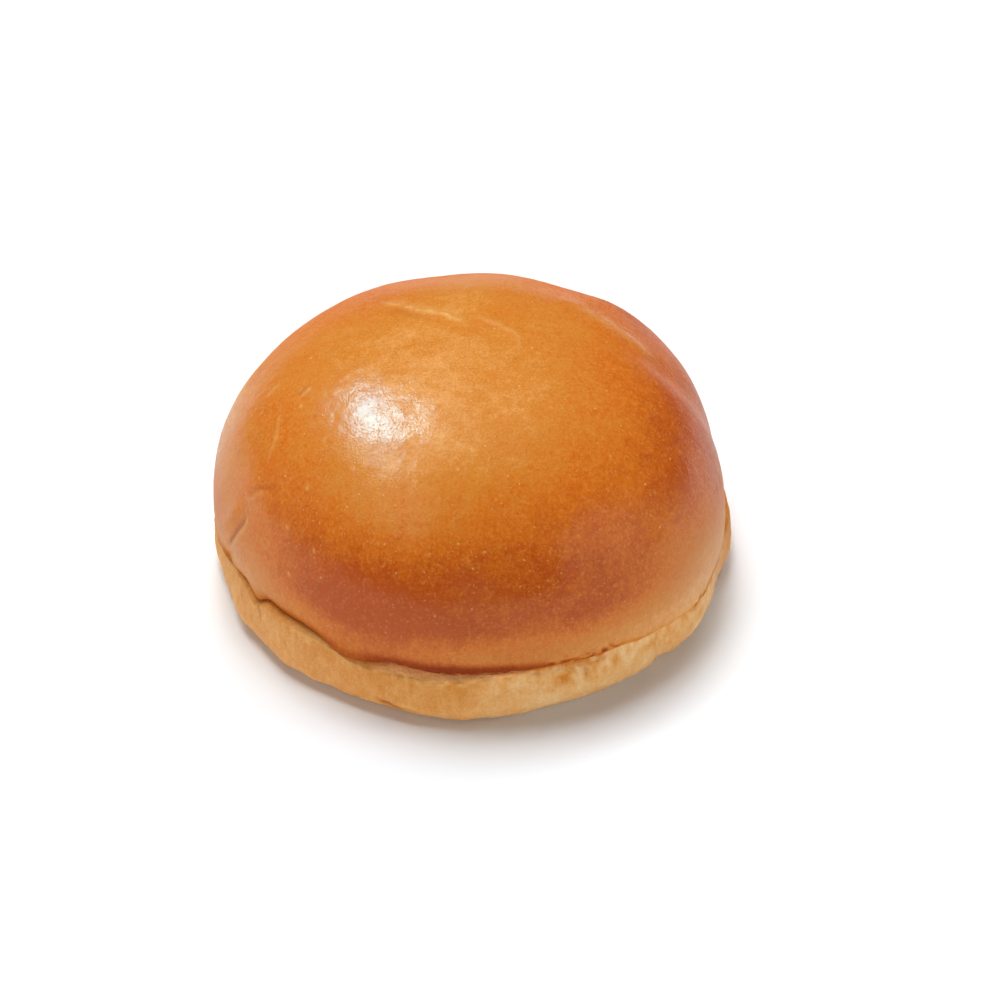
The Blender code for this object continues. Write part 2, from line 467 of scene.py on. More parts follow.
# %% The wrinkles over the crown
line(((-17.8, 17.0, 51.7), (-15.9, 15.5, 52.5), (-12.4, 12.9, 53.5), (-8.7, 10.4, 54.3), (-5.6, 9.0, 54.6),
      (-3.1, 7.5, 54.8), (-1.5, 6.6, 54.9), (0.6, 5.9, 54.9)),
     half_width=0.7, height=0.2, paleness=0.55, wobble=0.3, beads=0.4)
line(((-17.2, 17.6, 51.6), (-13.0, 14.6, 53.0), (-8.7, 11.6, 54.0), (-4.0, 9.6, 54.6), (0.6, 7.6, 54.8)),
     half_width=1.8, height=0.08, paleness=0.28, wobble=0.5)
line(((-16.2, 13.2, 52.8), (-13.7, 11.4, 53.5), (-10.1, 9.1, 54.3), (-6.7, 8.2, 54.6)),
     half_width=1.3, height=-0.12, darkness=0.14)
line(((0.3, 8.3, 54.8), (3.6, 6.5, 54.8), (6.8, 4.5, 54.7), (9.2, 2.4, 54.5), (9.8, -0.7, 54.5),
      (10.5, -3.3, 54.3)),
     half_width=0.6, height=0.13, paleness=0.32, wobble=0.35, beads=0.4)
print("the crown's wrinkles show on", np.count_nonzero(pale > 0.1), "vertices")

# %% The wrinkles at the left
line(((-36.5, -10.4, 44.9), (-37.0, -11.8, 44.1), (-37.1, -15.2, 42.8), (-38.4, -17.4, 40.5),
      (-39.3, -19.2, 38.5)),
     half_width=0.4, height=0.12, paleness=0.3, wobble=0.2)
line(((-43.7, -19.1, 32.0), (-41.8, -20.8, 33.7), (-40.1, -21.9, 35.3), (-37.6, -23.8, 36.9),
      (-37.5, -22.0, 38.4)),
     half_width=0.4, height=-0.16, darkness=0.3, wobble=0.2)
line(((-43.9, -19.6, 31.0), (-42.0, -21.3, 32.7), (-40.3, -22.4, 34.3), (-37.9, -24.3, 35.9)),
     half_width=0.7, height=0.10, paleness=0.15, beads=0.4)
line(((-32.9, -8.9, 47.5), (-32.2, -7.5, 48.1), (-30.6, -6.6, 49.0)),
     half_width=0.4, height=-0.14, darkness=0.25)
line(((-32.3, -9.7, 47.5), (-31.5, -8.3, 48.2), (-30.0, -7.4, 49.1)),
     half_width=0.4, height=0.12, paleness=0.3)
line(((-39.5, -4.7, 43.6), (-38.2, -3.2, 44.9), (-36.1, -2.6, 46.4)),
     half_width=0.5, height=0.1, paleness=0.25)
line(((-39.5, -28.9, 25.3), (-39.1, -29.5, 24.7), (-38.5, -30.4, 24.0)),
     half_width=0.4, height=-0.1, darkness=0.3)
spot((-45.3, -10.8, 35.4), radius=1.1, darkness=0.2)
print("wrinkles and their grooves show on", np.count_nonzero(pale + dark > 0.1), "vertices so far")

# %% The fold: a cushion at its left, its core, and the thin ridge at its right
line(((-48.3, -12.0, 15.5), (-47.2, -15.5, 20.5), (-46.2, -17.8, 24.2), (-45.2, -19.2, 27.5),
      (-44.0, -20.3, 30.5)),
     half_width=1.6, height=0.55, fade=0.3)
# The core's darkness is painted shade in its groove.
line(((-47.7, -14.3, 14.9), (-46.2, -18.1, 20.0), (-45.1, -20.1, 23.7), (-43.9, -21.4, 26.7),
      (-42.9, -22.0, 29.0)),
     half_width=0.45, height=-0.25, darkness=0.5, fade=0.2)
# The ridge's paleness is partly paler crust and partly a painted highlight.
line(((-47.1, -15.7, 15.7), (-45.9, -19.2, 20.0), (-44.4, -21.7, 24.2), (-43.2, -22.7, 27.3),
      (-42.2, -23.0, 29.6)),
     half_width=0.5, height=0.3, paleness=0.4, fade=0.25)
print("the relief now spans", relief.min().round(2), "to", relief.max().round(2), "mm")

# %% [markdown]
# At the back right egg wash ran together in a wet streak, which shines; its paler colour is a painted
# reflection. Here and there a bubble came up under the skin as a small pale blister. The largest ones have
# places of their own; the finish scatters the rest.

# %% The streak at the back right, and the largest blisters
STREAK = (
    (16.5, 21.4, 50.8), (20.0, 19.2, 50.5), (22.8, 16.7, 50.2), (25.5, 14.6, 49.7), (28.3, 12.9, 48.7),
    (30.8, 11.4, 47.7), (33.6, 10.1, 46.3), (36.2, 8.4, 44.7), (37.5, 7.3, 43.8),
)
STREAK_WETNESS = 0.9       # how much more egg lies on the streak than round it
STREAK_WET_HALF_WIDTH = 2.6
LARGE_BLISTERS = (
    (-32.4, -11.5, 47.1), (-27.6, -21.0, 46.3), (-31.0, -28.0, 39.8), (-35.0, -30.7, 32.3),
    (-34.8, -34.5, 23.9), (-29.8, -36.5, 31.1), (-1.8, -28.5, 50.1), (0.6, -29.2, 49.8),
    (-23.5, -8.1, 51.6), (-20.2, -28.9, 45.9), (-12.1, -29.4, 48.3),
)
# The streak's paleness is a painted reflection; the wetness set below gives it real gloss.
line(STREAK, half_width=2.2, height=0.15, paleness=0.22, wobble=0.3, fade=0.3)
near, across, along = near_line(STREAK)
wet_profile = STREAK_WETNESS * np.exp(-(across / STREAK_WET_HALF_WIDTH) ** 2)
wet = np.zeros(len(form))
wet[near] = wet_profile * ramp(along, 0, 0.4) * ramp(1 - along, 0, 0.2)
for blister in LARGE_BLISTERS:
    spot(blister, radius=0.33, height=0.08, paleness=0.8)
print(len(LARGE_BLISTERS), "large blisters, and a streak on", np.count_nonzero(wet > 0.1), "vertices")

# %% [markdown]
# Along some stretches the crease stands open, and the shoulder shows crumb that was pulled apart while it
# was still soft: short upright threads and ragged bits, with a thin hard ridge where the crust of the heel
# begins. Elsewhere the skin of the heel runs up into the crease. The photograph shows the front stretch;
# the back one is a guess.

# %% The torn shoulder
TORN_STRETCHES = ((-95, 19), (85, 24))       # the middle direction, and how far it reaches each way
STRAIGHT = 100.0           # noise this tall, in millimetres, changes round the bun only
SHOULDER_BITS = 0.06       # heights in millimetres, first the closed shoulder's, then the torn one's
CRUMB_RISE = 0.25
THREAD_HEIGHT = 0.14
CRUMB_BITS = 0.16
LIP_WAVER = 0.10
RIDGE_RISE = 0.08
RIDGE_BITS = 0.12
RIDGE_BITS_LOST = 0.06     # where the shoulder is torn
RIDGE_PALENESS = 0.6
arc = np.radians(direction) * HEEL_RADIUS


def upright(wide, tall, start):
    """Noise on the bun's side whose bumps are this wide and this tall, in millimetres."""
    return rolling(np.stack([arc / wide, up / tall, np.zeros_like(up)], axis=1), 1.0, start)


def in_stretch(middle, reach, soft):
    """1 within so many degrees of the middle direction, with soft ends, and 0 elsewhere."""
    return ramp(reach - np.abs(turn_between(direction, middle)), 0, soft)


torn_here = np.max([in_stretch(middle, reach, 5) for middle, reach in TORN_STRETCHES], axis=0)
threads = upright(0.8, 2.4, 5.0)
ragged = upright(2.2, 1.4, 15.0)
across_shoulder = np.sin(np.pi * part * (1 - 0.15 * torn_here)) * on_shoulder
torn_relief = torn_here * (CRUMB_RISE + THREAD_HEIGHT * threads + CRUMB_BITS * ragged)
relief += across_shoulder * (SHOULDER_BITS * ragged + torn_relief)
torn_from = ramp(part + 0.10 * threads, 0.04, 0.18)
torn_to = ramp(0.97 - part + 0.10 * ragged, 0, 0.15)
torn = on_shoulder * torn_here * torn_from * torn_to

lip_half = np.where(zone == LIP, ramp(part, 0.3, 1.0), 0)
lip_waver = LIP_WAVER * upright(2.6, STRAIGHT, 30.0)
lip_waver += LIP_WAVER * torn_here * upright(1.2, STRAIGHT, 35.0)
relief += lip_half * lip_waver
ridge_top = np.where(zone == SHOULDER, ramp(part, 0.75, 1.0), 0)
ridge_top = np.where(zone == SIDE, ramp(1 - part, 0.6, 1.0), ridge_top)
ridge_bits = (RIDGE_BITS - RIDGE_BITS_LOST * torn_here) * upright(1.6, STRAIGHT, 50.0)
relief += ridge_top * (RIDGE_RISE + ridge_bits)
ridge_specks = ramp(upright(1.3, 0.6, 55.0), -0.1, 0.5)
pale = np.maximum(pale, RIDGE_PALENESS * ridge_top * torn_here * ridge_specks)
print("torn crumb shows on", np.count_nonzero(torn > 0.5), "vertices")

# %% Marks on the heel: its fine relief, the notch and nicks at the front, and small dark stains
relief += on_heel * above_table * 0.05 * upright(1.6, 5.0, 60.0)
relief += np.where(zone == FOOT, np.sin(np.pi * part), 0) * 0.15 * upright(4.0, STRAIGHT, 130.0)
line(((-41.4, -27.2, 10.9), (-41.0, -29.3, 9.6), (-41.2, -29.0, 8.2)),
     half_width=0.5, height=-0.35, darkness=0.4)
line(((-40.6, -28.6, 10.4), (-40.5, -29.9, 9.0), (-40.6, -29.8, 7.6)),
     half_width=0.5, height=0.2, paleness=0.3)
# The nick's dark line is painted shade under the step it makes in the foot.
line(((-18.7, -48.0, 4.2), (-16.3, -48.8, 3.4), (-14.1, -49.3, 2.6), (-12.3, -49.4, 1.9)),
     half_width=0.45, height=-0.4, darkness=0.8, wobble=0.2)
line(((-14.2, -50.3, 4.3), (-12.0, -51.0, 4.4), (-10.2, -51.3, 4.0)),
     half_width=0.5, height=0.25, paleness=0.6)
line(((22.1, -46.2, 10.4), (22.4, -46.2, 9.0), (22.4, -46.3, 7.6)),
     half_width=0.35, height=-0.1, darkness=0.3)
spot((25.9, -45.0, 12.6), radius=0.7, height=-0.05, darkness=0.5)
spot((45.0, -26.2, 11.2), radius=0.6, height=-0.1, darkness=0.8)
spot((50.1, -10.0, 10.4), radius=0.7, height=-0.1, darkness=0.9)
spot((42.7, -28.5, 5.9), radius=0.9, height=-0.1, darkness=0.35)
spot((-45.5, -23.2, 9.6), radius=0.7, height=-0.1, darkness=0.3)
print("the whole relief spans", relief.min().round(2), "to", relief.max().round(2), "mm")

# %% [markdown]
# The relief now moves the vertices out along the normals, and nothing may sink below the table. The mesh
# stands for the whole packed bun, so it replaces its one node and rides on its one body.

# %% Put the bun on its body
low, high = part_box("bun")
cad_middle = np.array([(low[0] + high[0]) / 2, (low[1] + high[1]) / 2, low[2]])
surface = form + normals * relief[:, None]
surface[:, 2] = np.maximum(surface[:, 2], 0)
bun_mesh.vertices.foreach_set("co", ((surface - form_middle) * MM + cad_middle).ravel())
bun_mesh.shade_smooth()
bun = bpy.data.objects.new("bun_crust", bun_mesh)
bpy.context.scene.collection.objects.link(bun)
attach(bun, "root")
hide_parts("bun")
print("the finished bun measures", np.ptp(surface, axis=0).round(1), "mm")

# %% [markdown]
# ## Browning
#
# One number per vertex says how brown the crust is: 0 is pale crumb and 1 the darkest red-brown. The dome is
# darkest in a belt round its lower half, where it faced the oven's walls, and pales to the lip, which the
# dome shaded. Its crown is golden. Rounded patches then make one side browner than the other, as in any
# oven.

# %% How brown the dome is
BAKE_HEIGHTS = (0.0, 13.0, 15.5, 19.0, 24.0, 31.0, 38.0, 44.0, 49.0, 52.5, 55.0)
BAKE_LEVELS = (0.53, 0.53, 0.55, 0.69, 0.88, 0.93, 0.85, 0.74, 0.60, 0.50, 0.45)
BAKE_PATCHES = (           # direction, height, change, half width in degrees and in millimetres
    (170, 32, -0.46, 40, 11),
    (-120, 45, -0.20, 24, 10),
    (-30, 24, -0.23, 26, 9),
    (-5, 47, 0.15, 32, 9),
    (-110, 20, 0.14, 18, 7),
    (50, 52, 0.10, 26, 9),
    (-150, 24, -0.12, 18, 7),
    (-110, 32, 0.07, 12, 5),
    (-100, 23, 0.10, 34, 5),
    (-30, 31, -0.10, 16, 6),
    (-10, 34, 0.13, 12, 9),
    (125, 50, 0.06, 30, 8),
    (-118, 23, 0.09, 16, 8),
    (-92, 40, -0.07, 10, 5),
    (-32, 34, -0.05, 12, 7),
    (-35, 11, -0.25, 14, 3.5),
    (-10, 12, -0.15, 14, 4),
    (36, 44, 0.12, 14, 6),
    (-30, 34, 0.22, 9, 7),
    (-90, 49, -0.09, 22, 4),
    (-112, 38.5, -0.08, 9, 5),
    (-89, 36, 0.05, 9, 5),
    (-63, 38, 0.06, 9, 5),
    (-108, 27, 0.09, 12, 4),
    (-54, 25, 0.08, 9, 4),
    (-118, 24, 0.07, 18, 5),
    (-60, 27, 0.05, 14, 5),
    (-90, 15, -0.03, 20, 3),
    (-55, 17, -0.07, 16, 4),
    (-103, 15, 0.10, 12, 3),
    (-92, 20.5, -0.07, 20, 3),
    (-125, 14.5, 0.08, 14, 3),
    (-143, 34, 0.06, 10, 6),
    (135, 50, 0.09, 26, 5),
    (90, 46, 0.06, 24, 6),
)


def patch(middle, height, half_width, half_height):
    """A rounded patch: 1 in its middle, fading out sideways by degrees and upwards by millimetres."""
    sideways = turn_between(direction, middle) / half_width
    upwards = (up - height) / half_height
    return np.exp(-sideways ** 2 - upwards ** 2)


def with_patches(values, patches):
    """The values after a list of rounded patches has been added to them."""
    for middle, height, change, half_width, half_height in patches:
        values = values + change * patch(middle, height, half_width, half_height)
    return values


dome_bake = with_patches(np.interp(up, BAKE_HEIGHTS, BAKE_LEVELS), BAKE_PATCHES)
print("the dome's browning comes from", len(BAKE_LEVELS), "levels and", len(BAKE_PATCHES), "patches")

# %% [markdown]
# The heel stood on the tray in the dome's shade, so it stayed pale, with brown blotches and a few stains.
# The shoulder is paler still at the front left, partly where its skin was stretched and partly as painted
# light that lifts the shade under the lip.

# %% How brown the heel, the shoulder and the base are
HEEL_HEIGHTS = (0.0, 1.5, 4.0, 7.0, 9.5, 12.0)
HEEL_LEVELS = (0.15, 0.19, 0.23, 0.25, 0.27, 0.30)
HEEL_CHANGES = (
    (-145, 0.07, 14), (-113, 0.12, 20), (-65, -0.12, 22), (-22, -0.08, 14), (-6, 0.12, 8), (12, 0.25, 16),
    (110, 0.12, 30),
)
HEEL_STAINS = (            # a place, how much browner, and a radius in millimetres
    ((18.0, -48.0, 9.2), 0.35, 1.2),
    ((23.1, -45.4, 9.7), 0.3, 1.3),
    ((-2.0, -53.0, 9.6), 0.12, 3.5),
)
EVEN_BLOTCHES = 0.03
STRONGER_BLOTCHES = ((-60, 0.14, 18), (-32, 0.10, 12))
# These two lighten the shoulder at the front left: partly paler skin, partly painted light that lifts the
# shade under the lip.
SHOULDER_CHANGES = ((-155, -0.05, 9), (-125, -0.10, 10))
SHOULDER_PALE_AND_PAINTED_LIGHT = ((-127, 1.0, 10), (-154, 0.6, 8))
BASE_BAKE = 0.5

heel_bake = np.interp(up, HEEL_HEIGHTS, HEEL_LEVELS) + uneven(direction, HEEL_CHANGES)
blotchy = EVEN_BLOTCHES + uneven(direction, STRONGER_BLOTCHES) * ramp(up, 5.0, 9.5)
heel_bake += blotchy * (upright(2.6, 3.0, 110.0) + 0.7 * upright(1.0, 1.5, 120.0))
for middle, change, radius in HEEL_STAINS:
    heel_bake += change * np.exp(-((form - middle) ** 2).sum(axis=1) / radius ** 2)
bake = np.where(on_dome > 0, dome_bake, np.where(zone == BASE, BASE_BAKE, heel_bake))
bake += on_shoulder * uneven(direction, SHOULDER_CHANGES)
pale = np.maximum(pale, 0.4 * on_shoulder * uneven(direction, SHOULDER_PALE_AND_PAINTED_LIGHT))
print("the heel's browning is", heel_bake[on_heel > 0].mean().round(2), "on average")

# %% [markdown]
# Under the lip the crust is a deep red-brown. It is partly darker browning and partly painted shade, where
# the lip turns under and the crease lies in shadow. How dark that line is changes round the bun. It is a
# broad soft shade over the open stretch, a mere thread where the crease is shut, and broken up where the
# skin cracked in many small places.

# %% The dark line under the lip
# Painted shade along the crease, above and below the lip's edge, round the bun.
CREASE_PAINTED_SHADE = (        # direction, how dark above the lip's edge, how dark below it
    (-180, 0.05, 0.10),
    (-166, 0.10, 0.30),
    (-150, 0.05, 0.50),
    (-144, 0.30, 0.75),
    (-137, 0.35, 0.80),
    (-120, 0.40, 0.75),
    (-110, 0.70, 0.70),
    (-95, 0.95, 0.80),
    (-82, 0.85, 0.80),
    (-75, 0.65, 0.60),
    (-66, 0.50, 0.65),
    (-60, 0.65, 0.70),
    (-54, 0.15, 0.50),
    (-48, 0.10, 0.40),
    (-40, 0.05, 0.45),
    (-30, 0.05, 0.50),
    (-20, 0.40, 0.85),
    (-15, 0.60, 0.90),
    (-8, 0.60, 0.90),
    (5, 0.50, 0.80),
    (60, 0.40, 0.50),
    (120, 0.50, 0.50),
    (180, 0.05, 0.10),
)
CRACKED_STRETCHES = ((-62, 13), (-29, 5))
# Painted shade on the dome just above the lip at the front, where it turns down, away from the light.
PAINTED_SHADE_ABOVE_LIP = (         # direction, height, darkness, half width in degrees and in millimetres
    (-105, 14.5, 0.19, 20, 2.5),
    (-78, 15.5, 0.11, 16, 2.5),
)
crease_directions, darkness_above, darkness_below = zip(*CREASE_PAINTED_SHADE)
unbroken = np.ones_like(direction)
for middle, reach in CRACKED_STRETCHES:
    cracks = 0.6 - ramp(upright(1.4, 1.0, 90.0), -0.25, 0.45)
    unbroken *= 1 - in_stretch(middle, reach, 3) * cracks
above = np.interp(direction, crease_directions, darkness_above) * unbroken
below = np.interp(direction, crease_directions, darkness_below) * unbroken

# Painted shade: over_edge darkens and browns the lip where it turns under, lip_edge darkens its hidden rim,
# and under_edge darkens the top of the shoulder in the crease.
over_edge = np.where(zone == LIP, ramp(part + 0.02 * threads + 0.3 * above, 0.25, 0.75), 0)
lip_edge = np.where(zone == LIP, ramp(part, 0.70, 1.0), 0)
under_edge = np.where(zone == SHOULDER, ramp(1 - part, 0.65 + 0.25 * torn_here, 1.0), 0)
# Painted shade: deep in the crease the closed shoulder is browned towards red, the colour its shadow takes.
painted_shade_in_crease = 0.3 * on_shoulder * ramp(1 - part, 0.2, 0.9) * (1 - torn_here)
bake += 0.5 * above * over_edge + painted_shade_in_crease
dark = np.maximum.reduce([dark, above * over_edge ** 1.5, 0.8 * below * lip_edge, 0.9 * below * under_edge])
for middle, height, darkness, half_width, half_height in PAINTED_SHADE_ABOVE_LIP:
    dark = np.maximum(dark, on_dome * darkness * patch(middle, height, half_width, half_height))
print("the dark line shows on", np.count_nonzero(dark > 0.3), "vertices")

# %% [markdown]
# The egg was brushed over the top and thins out down the sides. So the gloss is full on the upper half of
# the dome and faint near the lip. In places near the lip, at the dome's right edge and on the heel, the
# crust's colour is blended towards a pale, dull pink: a painted sheen.

# %% Keep the numbers where the finish can read them
GLAZE_AT_LIP = 0.25
GLAZE_THINS_BELOW = 36.0
GLAZE_THINNEST_AT = 16.0
LEAST_GLAZE = 0.1
GLAZE_PATCHES = (          # direction, height, change, half width in degrees and in millimetres
    (95, 46, -0.90, 70, 8),
    (50, 36, -0.70, 24, 12),
    (5, 30, -0.30, 26, 12),
    (8, 39, -0.40, 22, 9),
    (170, 36, -0.30, 35, 12),
    (148, 42, -0.35, 22, 10),
    (163, 37, -0.25, 15, 11),
)
# Painted sheen: the crust's colour is whitened towards a dull pink where a soft reflection would lie, most
# at the dome's right edge.
PAINTED_SHEEN_ALL_ROUND = 0.02
PAINTED_SHEEN_ON_DOME = ((-155, 0.14, 16), (-90, 0.02, 40), (-58, 0.02, 14), (-20, 0.20, 20))
PAINTED_SHEEN_ON_HEEL = ((-145, 0.08, 30), (-14, 0.18, 16))
PAINTED_RIM_SHEEN = 0.22

glaze = GLAZE_AT_LIP + (1 - GLAZE_AT_LIP) * ramp(up, GLAZE_THINNEST_AT, GLAZE_THINS_BELOW)
glaze = with_patches(glaze, GLAZE_PATCHES)
glaze = on_dome * np.clip(glaze + wet, LEAST_GLAZE, 1) * (1 - 0.8 * over_edge)

chalk = on_dome * (PAINTED_SHEEN_ALL_ROUND + uneven(direction, PAINTED_SHEEN_ON_DOME))
chalk = chalk * (1 - ramp(up, 15.0, 27.0)) * (1 - over_edge)
chalk += on_heel * uneven(direction, PAINTED_SHEEN_ON_HEEL)
chalk += on_dome * PAINTED_RIM_SHEEN * patch(3, 26, 9, 8)


def keep_on_crust(name, values):
    """Store one number per vertex where the finish can read it."""
    stored = bun_mesh.attributes.new(name, "FLOAT", "POINT")
    stored.data.foreach_set("value", np.asarray(values, dtype=np.float32))


keep_on_crust("bake", bake)
keep_on_crust("glaze", glaze)
keep_on_crust("chalk", chalk)
keep_on_crust("torn", torn)
keep_on_crust("pale", pale)
keep_on_crust("dark", dark)
print("browning spans", bake.min().round(2), "to", bake.max().round(2))

# %% [markdown]
# ## The crust's finish
#
# The finish is one material, because it is one crust. Its arithmetic is written as sums: a small class
# wraps a socket, and each sum on it adds the Math node that does the sum.

# %% Sums on sockets
class Wire:
    """A socket of the finish's node tree, used like a number."""

    def __init__(self, tree, socket=None):
        self.tree = tree
        self.socket = socket

    def node(self, kind, settings=None, sockets=None, output=0):
        """Add any node: its settings are made first, then its sockets get their values or links."""
        made = self.tree.nodes.new(kind)
        for name, value in (settings or {}).items():
            if name == "stops":
                stops = made.color_ramp.elements
                stops.remove(stops[1])
                stops[0].position, stops[0].color = value[0]
                for position, stop_colour in value[1:]:
                    stops.new(position).color = stop_colour
            else:
                setattr(made, name, value)
        for name, value in (sockets or {}).items():
            if isinstance(value, Wire):
                self.tree.links.new(value.socket, made.inputs[name])
            else:
                made.inputs[name].default_value = value
        return Wire(self.tree, made.outputs[output])

    def sum(self, operation, *values):
        """The Math node that works out one operation."""
        return self.node("ShaderNodeMath", {"operation": operation}, dict(enumerate(values)))

    def __add__(self, other):
        return self.sum("ADD", self, other)

    def __radd__(self, other):
        return self.sum("ADD", other, self)

    def __sub__(self, other):
        return self.sum("SUBTRACT", self, other)

    def __rsub__(self, other):
        return self.sum("SUBTRACT", other, self)

    def __mul__(self, other):
        return self.sum("MULTIPLY", self, other)

    def __rmul__(self, other):
        return self.sum("MULTIPLY", other, self)

    def step(self, low, high):
        """A soft step from 0 where the wire is low to 1 where it is high."""
        return self.node("ShaderNodeMapRange", {"interpolation_type": "SMOOTHSTEP"},
                         {"Value": self, "From Min": low, "From Max": high})

    def blend(self, first, second):
        """A colour: the first where the wire is 0, the second where it is 1."""
        return self.node("ShaderNodeMix", {"data_type": "RGBA"}, {0: self, 6: first, 7: second}, output=2)


# %% What the finish reads
crust = bpy.data.materials.new("baked_crust")
crust.use_nodes = True
crust_tree = crust.node_tree
crust_tree.nodes.remove(crust_tree.nodes["Principled BSDF"])
finish = Wire(crust_tree)
point = finish.node("ShaderNodeTexCoord", output="Object")


def read(name):
    """A number that was kept on the crust."""
    return finish.node("ShaderNodeAttribute", {"attribute_name": name}, output="Fac")


def mottle(size, detail=2.0, taller=1.0):
    """Noise round 0.5 whose blotches are so many millimetres wide, and so many times taller."""
    where = point
    if taller != 1.0:
        squeeze = (1, 1, 1 / taller)
        where = finish.node("ShaderNodeVectorMath", {"operation": "MULTIPLY"}, {0: point, 1: squeeze})
    return finish.node("ShaderNodeTexNoise", None,
                       {"Vector": where, "Scale": 1 / (size * MM), "Detail": detail})


def cells(size, output):
    """The distance to the nearest of points scattered this many millimetres apart, or its own colour."""
    return finish.node("ShaderNodeTexVoronoi", None,
                       {"Vector": point, "Scale": 1 / (size * MM)}, output=output)


def specks(size, smallest, largest, share):
    """Round specks at the scattered points: a share of them is kept, and they differ in size."""
    lots = finish.node("ShaderNodeSeparateColor", None, {"Color": cells(size, "Color")})
    round_specks = 1 - cells(size, "Distance").step(smallest / size, largest / size)
    return round_specks * lots.step(1 - share, 1.1 - share)


glaze_left = read("glaze")
torn_crumb = read("torn")

# %% [markdown]
# The browning isn't even at close range either. Blotches of three sizes shift it a little up and down, and
# where the glaze is thin it has dull upright streaks. A ramp from pale crumb to red-brown turns the number
# into a colour, in the order in which dough takes them in the oven.

# %% Browning with its mottling
BROWNING_COLOURS = (
    (0.0, (0.86, 0.57, 0.27, 1)),
    (0.25, (0.78, 0.375, 0.112, 1)),
    (0.5, (0.63, 0.226, 0.030, 1)),
    (0.75, (0.625, 0.156, 0.0125, 1)),
    (1.0, (0.46, 0.076, 0.007, 1)),
)
unevenness = 0.30 * (mottle(7.0) - 0.5) + 0.28 * (mottle(1.8) - 0.5) + 0.42 * (mottle(0.45, 3.0) - 0.5)
dull_streaks = (1 - glaze_left) * (mottle(0.9, 2.0, 3.0) - 0.5)
browning = read("bake") + unevenness * (0.7 + 0.3 * glaze_left) + 0.2 * dull_streaks
crust_colour = finish.node("ShaderNodeValToRGB", {"stops": BROWNING_COLOURS}, {"Fac": browning})
print("the browning takes", len(crust_tree.nodes), "nodes")

# %% [markdown]
# Blisters and stretched skin are paler than the crust round them, cracks and pits darker. The same pale and
# dark colours also carry painted highlights, a painted reflection and painted shade. Where the crust is well
# browned it also has a fine grain of light and dark specks. Painted sheen, torn crumb and the dark of the
# cracks and the painted shade then go over the crust's colour, one after the other.

# %% Blisters, wrinkles and cracks
# The pale colour stands for stretched skin and blisters, and also for the painted highlights, reflection and
# lifted shade that pale carries; the dark one for cracks and for painted shade.
STRETCHED_SKIN_AND_PAINTED_LIGHT = (0.88, 0.54, 0.19, 1)
# The colour of the painted sheen.
PAINTED_SHEEN = (0.86, 0.62, 0.46, 1)
CRUMB = (0.95, 0.49, 0.20, 1)
BROWNED_CRUMB = (0.93, 0.41, 0.12, 1)
DARK_CRACK_AND_PAINTED_SHADE = (0.23, 0.028, 0.002, 1)
SKIN_PALENESS = 0.75       # how far these go towards the stretched skin's colour
BLISTER_PALENESS = 0.45
FINE_BLISTER_PALENESS = 0.5
LIGHT_GRAIN = 0.13
DARK_GRAIN = 0.16          # and this towards the dark crack's

blisters = specks(2.4, 0.16, 0.30, 0.35)
fine_blisters = specks(0.9, 0.08, 0.17, 0.6) * mottle(7.0).step(0.40, 0.60)
grainy = mottle(0.7, 3.0)
where_brown = browning.step(0.40, 0.65)
pale_blisters = blisters * BLISTER_PALENESS + fine_blisters * FINE_BLISTER_PALENESS
paler = read("pale") * SKIN_PALENESS + pale_blisters * (0.25 + 0.75 * glaze_left)
paler = paler + LIGHT_GRAIN * grainy.step(0.50, 0.75) * where_brown
darker = read("dark") + DARK_GRAIN * (1 - grainy).step(0.50, 0.75) * where_brown
crumb_colour = mottle(0.6, 3.0, 1.5).step(0.3, 0.7).blend(CRUMB, BROWNED_CRUMB)
colour = paler.blend(crust_colour, STRETCHED_SKIN_AND_PAINTED_LIGHT)
colour = read("chalk").blend(colour, PAINTED_SHEEN)
colour = torn_crumb.blend(colour, crumb_colour)
colour = darker.blend(colour, DARK_CRACK_AND_PAINTED_SHADE)

# %% [markdown]
# The fine relief is a bump, with its heights in millimetres: puckers, pores where bubbles of the egg wash
# burst, and the blisters. The pores lie in some places only. A face of the mesh is too coarse for them.

# %% Fine relief
SKIN_PUCKER = 0.035        # heights and depths in millimetres
FINEST_PUCKER = 0.045
PORE_DEPTH = 0.045
BLISTER_RISE = 0.04
BARE_GRAIN = 0.10
BARE_STREAKS = 0.08
CRUMB_THREADS = 0.25
pores = (1 - cells(0.6, "Distance").step(0.10, 0.28)) * mottle(9.0).step(0.36, 0.50)
pucker = mottle(1.3) * SKIN_PUCKER + mottle(0.45) * FINEST_PUCKER * (0.5 + mottle(6.0).step(0.4, 0.6))
grain = mottle(0.35) * BARE_GRAIN + mottle(1.4, 2.0, 3.0) * BARE_STREAKS
grain = grain + mottle(0.5, 2.0, 4.0) * CRUMB_THREADS * torn_crumb
glazed_relief = (blisters + fine_blisters) * BLISTER_RISE * glaze_left
bare_relief = grain * (1 - glaze_left)
fine_height = pucker - pores * PORE_DEPTH + glazed_relief + bare_relief
bump = finish.node("ShaderNodeBump", None, {"Height": fine_height, "Strength": 1.0, "Distance": MM})

# %% [markdown]
# Egg wash bakes to a clear, shiny film, and bare crust is dull. Two shaders that share the colour and the
# relief stand for the two, and the glaze that was kept on the mesh mixes them.

# %% Glazed crust and bare crust
GLAZED_ROUGHNESS = 0.20
GLAZED_GLOSS = 0.5
BARE_ROUGHNESS = 0.75
BARE_GLOSS = 0.18
CRUST_IOR = 1.42


def crust_shader(roughness, gloss):
    """One kind of crust, in the colour and relief worked out above."""
    return finish.node("ShaderNodeBsdfPrincipled", None, {
        "Base Color": colour,
        "Normal": bump,
        "Roughness": roughness,
        "Specular IOR Level": gloss,
        "IOR": CRUST_IOR,
    })


